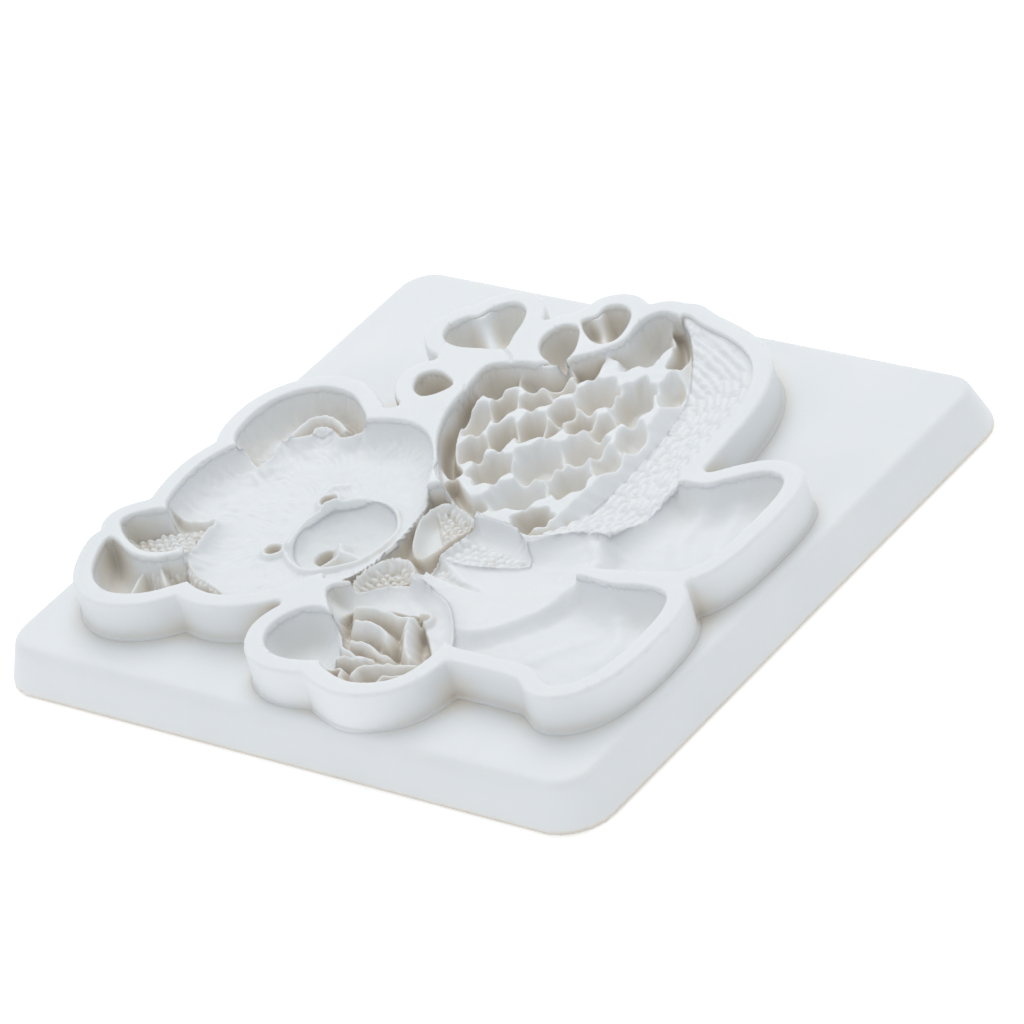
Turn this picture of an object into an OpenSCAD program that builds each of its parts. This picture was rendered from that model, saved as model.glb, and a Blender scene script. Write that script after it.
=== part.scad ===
// One-piece silicone casting mould: a slab with a raised outline wall round a teddy bear relief.
// The bear lies with its head towards -X and its feet towards +X, beside a basket of flowers.
// Origin: centre of the slab's underside. +Z points out of the open cavities. Units are millimetres.

/* [Slab] */
// Length of the slab's underside, along X
slab_len = 105; // [103:1:112]
// Width of the slab's underside, along Y
slab_wid = 98; // [97:1:106]
// Height of the slab
slab_h = 6.6; // [6:0.2:9]
// How far each side leans in between the underside and the top
slab_draft = 2.3; // [1:0.1:2.4]
// Corner radius of the underside
corner_r = 7; // [4:0.5:9]
// Rounding of the top edge
edge_r = 1.2; // [0.6:0.1:1.6]

/* [Wall] */
// Height of the raised wall above the slab
wall_h = 5.8; // [5:0.2:7]
// Thickness of the wall round the cavities
wall_t = 3.0; // [2.4:0.1:3]
// Fillet radius in the wall's inside corners
notch_r = 0.6; // [0.3:0.1:1]

/* [Cavities] */
// Material left under the deepest cavity
skin_t = 2.4; // [2:0.1:3]
// Depth of every cavity along its edge, below the top of the wall
edge_depth = 4.3; // [4.2:0.1:4.8]
// Depth of the head at its centre
head_depth = 6.4; // [5.5:0.1:7]
// Depth of the muzzle at its centre
muzzle_depth = 8.8; // [8:0.1:9.4]
// Depth of each foot at its centre
foot_depth = 6.4; // [5.5:0.1:7]
// Depth of the body at its centre
body_depth = 5.8; // [5.2:0.1:7]
// Depth of the flowers
flower_depth = 7.4; // [6.6:0.1:8.5]
// Depth of the neck channel and of the ribbon
channel_depth = 6.2; // [5.6:0.1:7]

/* [Relief] */
// Radius of one bead on the ribbon and on the collar
bead_r = 0.65; // [0.4:0.05:0.7]
// Height of the ridges between the petals
crest_h = 2.6; // [1.5:0.1:3.4]
// Height of the wicker strands
weave_h = 0.8; // [0.4:0.1:1.2]
// Height of the rose's petal ridges
petal_h = 1.8; // [1:0.1:3]

/* [Hidden] */

$fn = 48;
top_z = slab_h + wall_h;
edge_z = top_z - edge_depth;
far = 60;
eps = 0.01;

// ---- outlines, as closed curves through a few points -------------------------------------

function wrap(p, i) = p[(i + len(p)) % len(p)];
function spline(a, b, c, d, t) =
    0.5 * (2 * b + (c - a) * t + (2 * a - 5 * b + 4 * c - d) * t * t + (3 * b - a - 3 * c + d) * t * t * t);
function loop(p, n = 3) = [
    for (i = [0 : len(p) - 1]) for (j = [0 : n - 1])
        spline(wrap(p, i - 1), wrap(p, i), wrap(p, i + 1), wrap(p, i + 2), j / n)];

HEAD = [[-40.6, -3.4], [-42.8, -9], [-42.6, -15], [-40.8, -19.5], [-36, -20.5], [-33.2, -24], [-30.5, -28.5],
    [-26.5, -32], [-21, -33.5], [-15.5, -32.2], [-11.3, -29.2], [-8.6, -25.6], [-5.8, -22.2], [-4.4, -17],
    [-4.6, -11], [-6, -4.5], [-9.5, 1.8], [-14.5, 6.6], [-20, 7.9], [-26, 6.4], [-32.5, 4.6], [-37.5, 1]];
EAR = [[-42.6, -2], [-43.3, 4], [-41, 8.8], [-36.8, 11.3], [-32, 11], [-28.2, 8.8], [-25.4, 5.8], [-28, 0],
    [-34, -4], [-39.5, -4.5]];
RIBBON_LOOP = [[-45.4, -23.6], [-43.4, -21.2], [-40.6, -19.6], [-36, -18.5], [-32, -23], [-32.5, -27],
    [-36.5, -28.6], [-40.5, -27.6], [-43.8, -25.6]];
RIBBON_TAIL = [[-44.2, -27.6], [-43.2, -31.8], [-40.3, -35.8], [-35.8, -37.8], [-31, -36.8], [-27.6, -34.2],
    [-25.5, -31], [-30, -27], [-34, -29.6], [-38.5, -29.8]];
COLLAR_UPPER = [[-4.6, -8], [-4.4, -5], [-1.8, -3.8], [1.6, -5.2], [4.4, -7], [3, -11], [1.6, -15.2],
    [-0.8, -14.4], [-3, -11.4]];
COLLAR_LOWER = [[-3.4, -17.2], [-1, -16.2], [1.6, -17.2], [3.4, -20.2], [0.6, -23.6], [-2, -25.2], [-4.2, -23.4],
    [-4.5, -20]];
NECK = [[-7, -5], [-4, -2.4], [0, -3.2], [4, -5.6], [5, -9], [4, -14], [4.8, -19], [4.4, -22.8], [-1, -24.4],
    [-4.6, -25.4], [-7.6, -24.6], [-8, -15]];
SCARF_PANEL = [[4.2, -7.9], [8, -7.2], [13.4, -8.2], [17.8, -12.2], [11, -14.2], [4.2, -14.8], [2, -13.6]];
SCARF_STRIP = [[3.2, -17.4], [9.5, -18.8], [17.4, -20.8], [13.4, -21.7], [8.4, -21.6], [4.8, -19.8]];
BODY = [[2.4, -15.4], [10, -13.6], [17, -9], [22, -4.6], [25.4, -5], [28, -8.6], [27.6, -12], [27.8, -15],
    [26, -19.8], [23.6, -23.6], [20.6, -26.6], [17.4, -28.8], [15, -26], [8.5, -21.6], [3, -18.6]];
UPPER_FOOT = [[28.6, 7.4], [33, 8.2], [36.4, 11], [39.5, 13.1], [42.8, 12.6], [44.3, 9], [44.6, 2], [44.2, -4],
    [42.8, -8], [39.5, -9.8], [34.5, -11], [29.4, -11.9], [26, -9.4], [25.6, -4], [27.6, 2]];
LOWER_FOOT = [[28.4, -14.2], [34, -14.4], [39, -13.3], [42.8, -13.9], [44.6, -17.5], [45, -24], [44.3, -30],
    [42.3, -33.7], [39.5, -35], [37, -33.7], [34.4, -32.6], [28, -32.4], [20.4, -32.2], [17.6, -29.4], [20, -25.6],
    [24, -20.4], [26, -16]];
PAW = [[-4.6, -27.6], [-2.6, -25.4], [1.6, -22.6], [7, -21.4], [12.5, -23.2], [17, -27.5], [19.6, -32],
    [19.2, -38], [17, -41.4], [12.5, -43.1], [8, -42.3], [4.6, -40.4], [2.6, -35.6], [-0.6, -31.6]];
ARM = [[-3.8, -31.4], [-6.3, -33.8], [-7, -37], [-5.4, -40], [-2, -41.7], [2, -41.5], [5.4, -40], [3.6, -35.6],
    [0, -31.8]];
BED = [[-16.3, 22.3], [-13.6, 24], [-10.4, 25], [-7, 25.2], [-4.6, 28], [-1.8, 30.4], [0, 33.6], [-0.6, 38],
    [1, 40.8], [4.4, 40.6], [7.8, 37.8], [10.8, 33.8], [13.6, 29], [15.6, 24], [17, 15], [17.3, 5], [17, -4],
    [15, -7.6], [11, -6.9], [6, -6.4], [1.4, -4.6], [-4, -2.9], [-8, 1], [-12.2, 6.2], [-15, 12], [-15.8, 17.5]];
BASKET = [[4.6, 41.2], [9, 39.8], [13.5, 38.6], [18, 36.8], [22, 33.8], [25, 29], [26.6, 23], [27.4, 15],
    [28, 9.5], [29.8, 4], [29.6, -4], [22.4, -4.8], [17.4, -7.8], [13, -7.9], [13, 5], [13, 18], [10, 28],
    [6, 36]];
HEART = [[-28.5, 29], [-27.3, 31.6], [-25.6, 32.4], [-24.6, 35], [-22.2, 36.8], [-19.6, 35.8], [-18, 33],
    [-17.2, 29.8], [-16.4, 26.8], [-20, 25.9], [-24, 25.3], [-27.2, 26.4]];
DROP = [[-24.8, 17.6], [-23, 19.3], [-20.4, 18.7], [-18.3, 17.2], [-19.2, 14.9], [-21, 13.7], [-23.4, 14.8]];
BUD = [[-12.5, 31], [-11.6, 33.9], [-9, 34.3], [-6.9, 31.6], [-5.6, 28.6], [-6, 26.3], [-8.5, 26.3],
    [-11.2, 28.2]];
TWIN_BUD = [[-9.3, 35.8], [-7.8, 37.4], [-7.9, 39.6], [-5.8, 40.6], [-3.2, 39.2], [-1.7, 36], [-1.4, 33.2],
    [-2.8, 31.8], [-5, 32.2], [-7.6, 33.9]];

// Each flower is a centre and a radius
FLOWERS = [[2.6, 35.2, 3.6], [-14, 20.4, 2.6], [-6.6, 24, 2.4], [-1.4, 28.6, 1.9], [2.9, 22, 3.2], [11, 21.4, 3.6],
    [-4.4, 19.4, 2.4], [-8, 16.8, 2.4], [5.4, 14.2, 1.8], [-10.2, 11.8, 2.4], [-2.4, 12, 3], [1.8, 17.2, 1.9],
    [10, 12.8, 3], [4.8, 7.8, 3.6], [-5, 6.4, 2.4], [11.6, 5.6, 3], [0.1, 3, 2.4], [6.4, 0, 3.2],
    [11.5, -3.4, 2.6], [8.4, 29.4, 2.6]];

MUZZLE_AT = [-15.4, -12.6];
MUZZLE_R = 7.4;
EYES = [[-22.8, -6.8], [-23.3, -18.5]];
EYE_R = 0.9;

module area(p, n = 3) { polygon(loop(p, n)); }
module muzzle_area() { translate(MUZZLE_AT) circle(r = MUZZLE_R); }
module neck_area() {
    difference() {
        area(NECK);
        area(HEAD);
        area(COLLAR_UPPER);
        area(COLLAR_LOWER);
        area(BED);
        area(PAW);
    }
}
module front_areas() {
    for (p = [HEAD, COLLAR_UPPER, COLLAR_LOWER, BED, PAW, NECK]) area(p);
}
module figure_area() {
    for (p = [HEAD, EAR, RIBBON_LOOP, RIBBON_TAIL, COLLAR_UPPER, COLLAR_LOWER, NECK, SCARF_PANEL, SCARF_STRIP,
        BODY, UPPER_FOOT, LOWER_FOOT, PAW, ARM, BED, BASKET, HEART, DROP, BUD, TWIN_BUD]) area(p);
}

// ---- building blocks ---------------------------------------------------------------------

// Silicone from the skin up to height z, over the children's area
module column(z) {
    translate([0, 0, skin_t]) linear_extrude(z - skin_t) children();
}

// A sphere that scoops a dish, as deep as depth at its centre and reaching spread out at the edge level
module dish(at, spread, depth) {
    drop = depth - edge_depth;
    r = (spread * spread + drop * drop) / (2 * drop);
    translate([at.x, at.y, edge_z - drop + r]) sphere(r = r, $fn = 96);
}

// A spherical cap that stands on height z
module bead(x, y, z, r = bead_r) {
    translate([x, y, z]) sphere(r = r, $fn = 24);
}

// Rows of beads. across is the step from row to row
module bead_rows(start, step, across, rows, cols, z) {
    for (i = [0 : rows - 1], j = [0 : cols - 1]) {
        at = start + i * across + (j + (i % 2) / 2) * step;
        bead(at.x, at.y, z);
    }
}

// A five-petalled flower's outline
function rosette(at, r, turn = 0) = [
    for (a = [0 : 9 : 351]) at + r * (0.82 + 0.18 * cos(5 * a)) * [cos(a + turn), sin(a + turn)]];

// ---- slab and wall -----------------------------------------------------------------------

module slab_corners(len, wid, r) {
    for (x = [-1, 1], y = [-1, 1]) translate([x * (len / 2 - r), y * (wid / 2 - r)]) circle(r = r, $fn = 64);
}
module slab_layer(inset, z, h) {
    translate([0, 0, z])
        linear_extrude(h)
            hull() slab_corners(slab_len - 2 * inset, slab_wid - 2 * inset, corner_r - inset);
}

module base_slab() {
    steps = 5;
    color("#dde0e6")
        difference() {
            hull() {
                slab_layer(0, 0, eps);
                for (i = [0 : steps])
                    slab_layer(slab_draft - 0.4 + edge_r * (1 - cos(90 * i / steps)),
                        slab_h - eps - edge_r * (1 - sin(90 * i / steps)), eps);
            }
            translate([0, 0, skin_t]) linear_extrude(slab_h) figure_area();
        }
}

module wall_area() {
    difference() {
        offset(r = -notch_r) offset(r = wall_t + notch_r) figure_area();
        figure_area();
    }
}
module wall(cut) {
    color("#e6e9ee")
        translate([0, 0, slab_h])
            linear_extrude(wall_h)
                intersection() {
                    wall_area();
                    polygon(cut);
                }
}

module wall_ear() { wall([[-far, -5], [-38, -5], [-25, 6.4], [-25, 11], [-28, 13.2], [-28.6, 17], [-far, 17]]); }
module wall_brow() { wall([[-far, -20.5], [-38, -20.5], [-38, -5], [-far, -5]]); }
module wall_ribbon() { wall([[-far, -far], [-24, -far], [-24, -30], [-38, -20.5], [-far, -20.5]]); }
module wall_chin() { wall([[-24, -far], [-9, -far], [-9, -26], [-24, -30]]); }
module wall_paw() { wall([[-9, -far], [21, -far], [21, -30], [0, -20], [-9, -20]]); }
module wall_lower_foot() { wall([[21, -far], [far, -far], [far, -12], [27, -12], [27, -30], [21, -30]]); }
module wall_upper_foot() { wall([[27, -12], [far, -12], [far, far], [31.2, far], [31.2, 4], [27, 0]]); }
module wall_basket() { wall([[26, 5], [31.2, 4], [31.2, far], [9, far], [9, 36]]); }
module wall_buds() { wall([[9, far], [9, 36], [0, 30], [-14.6, 22], [-14.6, far]]); }
module wall_hearts() {
    wall([[-14.6, far], [-14.6, 22], [-8, 0], [-2, -4.4], [-7, -5], [-25, 6.4], [-25, 11], [-28, 13.2],
        [-28.6, 17], [-far, 17], [-far, far]]);
}

// ---- floors of the cavities --------------------------------------------------------------

module head_bowl() {
    color("#cfd1d6")
        difference() {
            column(edge_z) difference() { area(HEAD); muzzle_area(); }
            dish([-23.5, -12.5], 18, head_depth);
            for (e = EYES) translate([e.x, e.y, edge_z - 3]) cylinder(h = 4, r = EYE_R);
        }
}

module muzzle_bowl() {
    nose_at = MUZZLE_AT + [-2.1, -1.4];
    color("#c9ccd2")
        difference() {
            column(edge_z) muzzle_area();
            dish([-23.5, -12.5], 18, head_depth);
            dish(MUZZLE_AT, 8, muzzle_depth);
            translate([nose_at.x, nose_at.y, top_z - muzzle_depth - 0.8]) cylinder(h = 4, r = 1.7);
        }
}

module ear_bowl() {
    color("#cfd1d6")
        difference() {
            column(edge_z) difference() { area(EAR); area(HEAD); }
            dish([-36, 4], 10, head_depth);
        }
}

module inner_ear_mound() {
    color("#dde0e6")
        translate([0, 0, skin_t])
            linear_extrude(edge_z + 1.6 - skin_t)
                difference() {
                    intersection() {
                        translate([-33.4, 2.8]) difference() { circle(r = 5.4); circle(r = 3.9); }
                        area(EAR);
                    }
                    area(HEAD);
                }
}

module ribbon_loop_floor() {
    z = top_z - channel_depth;
    color("#c9ccd2") {
        column(z) difference() { area(RIBBON_LOOP); area(HEAD); area(RIBBON_TAIL); }
        intersection() {
            bead_rows([-41.2, -24.4], [1.9, 0.2], [0.9, -1.3], 3, 4, z);
            column(z + 2) difference() { area(RIBBON_LOOP); area(HEAD); area(RIBBON_TAIL); }
        }
    }
}

module ribbon_tail_floor() {
    color("#cfd1d6")
        difference() {
            column(edge_z) difference() { area(RIBBON_TAIL); area(HEAD); }
            dish([-36, -33], 9, channel_depth);
        }
}

module neck_channel() { color("#c9ccd2") column(top_z - channel_depth) neck_area(); }

module collar_floor(p, start, step, across, rows, cols) {
    color("#cfd1d6") {
        column(edge_z - 0.6) difference() { area(p); area(HEAD); }
        intersection() {
            bead_rows(start, step, across, rows, cols, edge_z - 0.6);
            column(edge_z + 2) difference() { area(p); area(HEAD); }
        }
    }
}
module collar_upper_floor() { collar_floor(COLLAR_UPPER, [-1.6, -5.6], [1.5, -0.5], [0.1, -1.7], 5, 3); }
module collar_lower_floor() { collar_floor(COLLAR_LOWER, [-2.6, -18.4], [1.6, 0], [0.1, -1.5], 4, 3); }

module scarf_panel_floor() {
    z = edge_z - 0.6;
    color("#cfd1d6") {
        column(z) difference() { area(SCARF_PANEL); front_areas(); }
        intersection() {
            bead_rows([6.4, -12.8], [1.8, 0.3], [0.6, 1.4], 3, 5, z);
            column(z + 2) difference() { area(SCARF_PANEL); front_areas(); }
        }
    }
}

module scarf_strip_floor() {
    z = edge_z - 0.6;
    color("#cfd1d6") {
        column(z) difference() { area(SCARF_STRIP); front_areas(); }
        intersection() {
            bead_rows([6, -19.5], [1.6, -0.3], [0.4, -1], 1, 6, z);
            column(z + 2) difference() { area(SCARF_STRIP); front_areas(); }
        }
    }
}

module body_bowl() {
    color("#d3d6db")
        difference() {
            column(edge_z)
                difference() {
                    area(BODY);
                    area(SCARF_PANEL);
                    area(SCARF_STRIP);
                    front_areas();
                }
            dish([18, -16], 12, body_depth);
        }
}

module upper_foot_bowl() {
    color("#cfd1d6")
        difference() {
            column(edge_z) difference() { area(UPPER_FOOT); area(BODY); area(BED); }
            dish([36.5, 0], 10.5, foot_depth);
        }
}

module lower_foot_bowl() {
    color("#cfd1d6")
        difference() {
            column(edge_z) difference() { area(LOWER_FOOT); area(BODY); area(PAW); }
            dish([36.5, -23.5], 10.5, foot_depth);
        }
}

module arm_bowl() {
    color("#cfd1d6")
        difference() {
            column(edge_z) difference() { area(ARM); }
            dish([-1.4, -36.8], 5.6, channel_depth);
        }
}

module paw_area() { difference() { area(PAW); area(HEAD); area(COLLAR_LOWER); area(ARM); } }
module paw_bowl() {
    color("#cfd1d6")
        difference() {
            column(edge_z) paw_area();
            dish([10.5, -33], 10, body_depth);
        }
}

// The rose in the paw: arcs of petal ridges round a bud, with two leaves below
module petal_arc(at, r, from, to, t = 0.7) {
    n = 10;
    turn = (to - from) / n;
    translate(at)
        polygon(concat(
            [for (i = [0 : n]) r * [cos(from + i * turn), sin(from + i * turn)]],
            [for (i = [n : -1 : 0]) (r - t) * [cos(from + i * turn), sin(from + i * turn)]]));
}
module rose_petals() {
    color("#dde0e6")
        translate([0, 0, top_z - body_depth - 0.3])
            linear_extrude(petal_h)
                intersection() {
                    paw_area();
                    union() {
                        petal_arc([6, -33.6], 5.6, 8, 96);
                        petal_arc([6.5, -35.8], 5.4, 12, 100);
                        petal_arc([8, -38], 4.8, 0, 110);
                        petal_arc([9.2, -40.6], 4.4, -12, 116);
                        petal_arc([12.2, -29.4], 1.4, -80, 190, 0.5);
                        petal_arc([19, -32], 6.6, 170, 236);
                    }
                }
}

// ---- basket ------------------------------------------------------------------------------

module flower_bed() {
    color("#cfd1d6")
        difference() {
            column(edge_z) difference() { area(BED); area(COLLAR_UPPER); area(BUD); area(TWIN_BUD); }
            translate([0, 0, top_z - flower_depth])
                linear_extrude(flower_depth)
                    for (i = [0 : len(FLOWERS) - 1])
                        polygon(rosette([FLOWERS[i].x, FLOWERS[i].y], FLOWERS[i].z - 0.9, 25 * i));
        }
}

module flower_crests() {
    color("#e6e9ee")
        translate([0, 0, edge_z])
            linear_extrude(crest_h)
                intersection() {
                    difference() { area(BED); area(COLLAR_UPPER); area(BUD); area(TWIN_BUD); }
                    difference() {
                        for (i = [0 : len(FLOWERS) - 1])
                            intersection() {
                                polygon(rosette([FLOWERS[i].x, FLOWERS[i].y], FLOWERS[i].z, 25 * i));
                                translate([FLOWERS[i].x, FLOWERS[i].y])
                                    rotate(-45) translate([0.4, -5]) square([8, 10]);
                            }
                        for (i = [0 : len(FLOWERS) - 1])
                            polygon(rosette([FLOWERS[i].x, FLOWERS[i].y], FLOWERS[i].z - 0.9, 25 * i));
                    }
                }
}

module basket_area() {
    difference() {
        area(BASKET);
        area(BED);
        area(BODY);
        area(UPPER_FOOT);
        area(SCARF_PANEL);
        area(TWIN_BUD);
    }
}
module basket_weave() {
    row_h = 1.6;
    col_w = 2.0;
    color("#d3d6db") {
        column(edge_z - weave_h) basket_area();
        translate([0, 0, edge_z - weave_h - eps])
            linear_extrude(weave_h + eps)
                intersection() {
                    basket_area();
                    for (i = [0 : 28], j = [0 : 8])
                        translate([12 + (j + (i % 2) / 2) * col_w, -5 + i * row_h]) square([1.3, row_h - 0.5]);
                }
    }
}

module pit(p, cover = []) {
    color("#c9ccd2")
        column(edge_z - 1.2)
            difference() {
                area(p);
                for (c = cover) area(c);
            }
}
module heart_bowl() { pit(HEART); }
module drop_bowl() { pit(DROP); }
module bud_bowl() { pit(BUD); }
module twin_bud_bowl() { pit(TWIN_BUD, [BUD]); }

base_slab();
wall_ear();
wall_brow();
wall_ribbon();
wall_chin();
wall_paw();
wall_lower_foot();
wall_upper_foot();
wall_basket();
wall_buds();
wall_hearts();
head_bowl();
muzzle_bowl();
ear_bowl();
inner_ear_mound();
ribbon_loop_floor();
ribbon_tail_floor();
neck_channel();
collar_upper_floor();
collar_lower_floor();
scarf_panel_floor();
scarf_strip_floor();
body_bowl();
upper_foot_bowl();
lower_foot_bowl();
arm_bowl();
paw_bowl();
rose_petals();
flower_bed();
flower_crests();
basket_weave();
heart_bowl();
drop_bowl();
bud_bowl();
twin_bud_bowl();
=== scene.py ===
"""The looks of a one-piece silicone mould with a teddy bear and a basket of flowers.

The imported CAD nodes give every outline. Each cavity's floor is a relief over its own node's
footprint, and the slab and the raised wall are rounded solids. Lengths are millimetres until
a mesh is made, and z is the height above the slab's underside. "Depth" is measured down from
the top of the wall.
"""

import math

import bpy
import numpy as np
import openvdb
from mathutils import Matrix, Vector


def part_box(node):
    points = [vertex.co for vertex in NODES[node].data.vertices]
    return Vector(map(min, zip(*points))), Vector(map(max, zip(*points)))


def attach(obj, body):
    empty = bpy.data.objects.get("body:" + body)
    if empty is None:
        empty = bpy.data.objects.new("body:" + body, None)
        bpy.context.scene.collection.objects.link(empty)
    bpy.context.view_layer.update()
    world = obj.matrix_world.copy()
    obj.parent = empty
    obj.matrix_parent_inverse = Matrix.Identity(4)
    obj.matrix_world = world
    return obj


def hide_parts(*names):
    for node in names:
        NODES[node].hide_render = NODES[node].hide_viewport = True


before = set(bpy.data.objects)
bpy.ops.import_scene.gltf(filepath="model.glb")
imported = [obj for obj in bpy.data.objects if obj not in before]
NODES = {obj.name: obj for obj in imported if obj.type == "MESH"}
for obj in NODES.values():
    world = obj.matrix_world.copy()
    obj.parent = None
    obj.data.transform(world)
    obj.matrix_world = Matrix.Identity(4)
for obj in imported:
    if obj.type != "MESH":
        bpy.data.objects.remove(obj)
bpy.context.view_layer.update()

SKIN_Z = 2.4  # top of the base slab's pocket, where every cavity floor starts
SLAB_Z = 6.6
TOP_Z = 12.4
STEP = 0.16  # grid spacing of the relief
EMBED = 0.45  # how far a relief runs on inside the wall
RIM_DEPTH = 0.62  # depth outside the outline, which lies inside the rounding of the wall's top
LEAST_DEPTH = 0.5  # depth at the outline, where each hollow starts
MOST_DEPTH = 9.6

WALLS = [n for n in NODES if n.startswith("wall_")]
FLOORS = [n for n in NODES if n != "base_slab" and n not in WALLS
          and n not in ("rose_petals", "flower_crests", "inner_ear_mound")]


# ---- reading the CAD nodes ---------------------------------------------------------------

def footprint(node, z):
    """The outline edges of a node's level face at height z, as rows of x0, y0, x1, y1."""
    mesh = NODES[node].data
    mesh.calc_loop_triangles()
    world = np.array(NODES[node].matrix_world)
    co = np.empty(len(mesh.vertices) * 3)
    mesh.vertices.foreach_get("co", co)
    co = (co.reshape(-1, 3) @ world[:3, :3].T + world[:3, 3]) * 1000
    tri = np.empty(len(mesh.loop_triangles) * 3, int)
    mesh.loop_triangles.foreach_get("vertices", tri)
    tri = tri.reshape(-1, 3)
    flat = tri[(np.abs(co[tri][:, :, 2] - z) < 0.02).all(axis=1)]
    edges = {}
    for face in np.round(co[flat][:, :, :2], 3):
        for i in range(3):
            a, b = tuple(face[i]), tuple(face[(i + 1) % 3])
            if a != b:
                key = (min(a, b), max(a, b))
                edges[key] = edges.get(key, 0) + 1
    return np.array([k[0] + k[1] for k, n in edges.items() if n % 2], float)


def inside(segs, x, y):
    """Even-odd test of points against outline edges."""
    hit = np.zeros(np.broadcast(x, y).shape, bool)
    for x0, y0, x1, y1 in segs:
        if y0 == y1:
            continue
        rows = (y >= min(y0, y1)) & (y < max(y0, y1))
        hit ^= rows & (x < x0 + (y - y0) * (x1 - x0) / (y1 - y0))
    return hit


def away(segs, x, y):
    """Distance from points to the nearest of some segments."""
    best = np.full(np.broadcast(x, y).shape, 1e9)
    for x0, y0, x1, y1 in segs:
        dx, dy = x1 - x0, y1 - y0
        t = np.clip(((x - x0) * dx + (y - y0) * dy) / max(dx * dx + dy * dy, 1e-9), 0, 1)
        best = np.minimum(best, (x - x0 - t * dx) ** 2 + (y - y0 - t * dy) ** 2)
    return np.sqrt(best)


def exposed(nodes, z):
    """The outline edges of several nodes together, without the edges they share."""
    each = [footprint(n, z) for n in nodes]
    segs = np.vstack(each)
    mid = (segs[:, :2] + segs[:, 2:]) / 2
    way = segs[:, 2:] - segs[:, :2]
    side = np.stack([way[:, 1], -way[:, 0]], 1) / np.linalg.norm(way, axis=1)[:, None] * 0.12
    covered = []
    for p in (mid + side, mid - side):
        covered.append(np.any([inside(e, p[:, 0], p[:, 1]) for e in each], axis=0))
    return segs[covered[0] != covered[1]]


# ---- the grid that the relief is drawn on --------------------------------------------------

figure_edge = exposed(FLOORS, SKIN_Z)
low = figure_edge.reshape(-1, 2).min(0) - 1.2
high = figure_edge.reshape(-1, 2).max(0) + 1.2
xs = np.arange(low[0], high[0], STEP)
ys = np.arange(low[1], high[1], STEP)
GX, GY = np.meshgrid(xs, ys)


def window(segs, margin):
    """The rows and columns of the grid round some segments."""
    x0, y0 = segs.reshape(-1, 2).min(0) - margin
    x1, y1 = segs.reshape(-1, 2).max(0) + margin
    return (slice(*np.searchsorted(ys, [y0, y1])), slice(*np.searchsorted(xs, [x0, x1])))


def shared_edge(nodes):
    """The outline edges that some nodes share with their neighbours."""
    segs = exposed(nodes, SKIN_Z)
    mid = (segs[:, :2] + segs[:, 2:]) / 2
    return segs[away(figure_edge, mid[:, 0], mid[:, 1]) > 0.25]


def within(points):
    """Grid points inside a closed polygon."""
    p = np.array(points, float)
    return inside(np.hstack([p, np.roll(p, -1, axis=0)]), GX, GY)


label = np.full(GX.shape, -1)
for index, node in enumerate(FLOORS):
    segs = footprint(node, SKIN_Z)
    w = window(segs, 0.1)
    label[w][inside(segs, GX[w], GY[w])] = index
for axis in (0, 1):  # joins neighbours that a hairline parts
    before, after = np.roll(label, 1, axis), np.roll(label, -1, axis)
    label = np.where((label < 0) & (before >= 0) & (after >= 0), before, label)

wall_d = np.where(label >= 0, 1, -1) * away(figure_edge, GX, GY)


def zone(*nodes):
    """Grid points inside some nodes' footprints."""
    return np.isin(label, [FLOORS.index(n) for n in nodes])


# ---- shaping tools -------------------------------------------------------------------------

def dome(d, width):
    """Rises from 0 at the outline to 1 at width inside, upright at the outline."""
    return np.sqrt(1 - (1 - np.clip(d / width, 0, 1)) ** 2)


def smooth(a, sigma):
    """Gaussian blur, with sigma in millimetres."""
    n = int(3 * sigma / STEP) + 1
    k = np.exp(-0.5 * (np.arange(-n, n + 1) * STEP / sigma) ** 2)
    k /= k.sum()
    for axis in (0, 1):
        pad = [(n, n) if i == axis else (0, 0) for i in (0, 1)]
        b = np.pad(a, pad, mode="edge")
        size = a.shape[axis]
        a = sum(k[i] * (b[i:i + size] if axis == 0 else b[:, i:i + size]) for i in range(len(k)))
    return a


def noise(seed, cell_x, cell_y, turn=0.0):
    """Smooth random field of about unit height over cells of the given size."""
    c, s = math.cos(turn), math.sin(turn)
    u = (GX * c + GY * s) / cell_x + 500
    v = (GY * c - GX * s) / cell_y + 500
    table = np.random.default_rng(seed).standard_normal((256, 256))
    i, j = np.floor(u).astype(int), np.floor(v).astype(int)
    fu, fv = u - i, v - j
    fu, fv = fu * fu * (3 - 2 * fu), fv * fv * (3 - 2 * fv)

    def at(p, q):
        return table[p % 256, q % 256]

    return ((at(i, j) * (1 - fu) + at(i + 1, j) * fu) * (1 - fv)
            + (at(i, j + 1) * (1 - fu) + at(i + 1, j + 1) * fu) * fv)


def curve(points, n=8):
    """A smooth open curve through the points, as segments."""
    p = np.array([points[0]] + list(points) + [points[-1]], float)
    out = []
    for i in range(1, len(p) - 2):
        a, b, c, d = p[i - 1:i + 3]
        for t in np.arange(n) / n:
            out.append(0.5 * (2 * b + (c - a) * t + (2 * a - 5 * b + 4 * c - d) * t * t
                              + (3 * b - a - 3 * c + d) * t ** 3))
    out.append(p[-1])
    out = np.array(out)
    return np.hstack([out[:-1], out[1:]])


def crest(depth, points, top, slope):
    """Raises a ridge along a curve: its top is at depth top and its sides fall at slope."""
    segs = curve(points)
    w = window(segs, 7.0)
    depth[w] = np.minimum(depth[w], top + slope * away(segs, GX[w], GY[w]))


def swell(depth, points, width, height):
    """Adds a soft roll of the given width along a curve: positive height goes deeper."""
    segs = curve(points)
    w = window(segs, 3 * width)
    depth[w] += height * np.exp(-(away(segs, GX[w], GY[w]) / width) ** 2)


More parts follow.
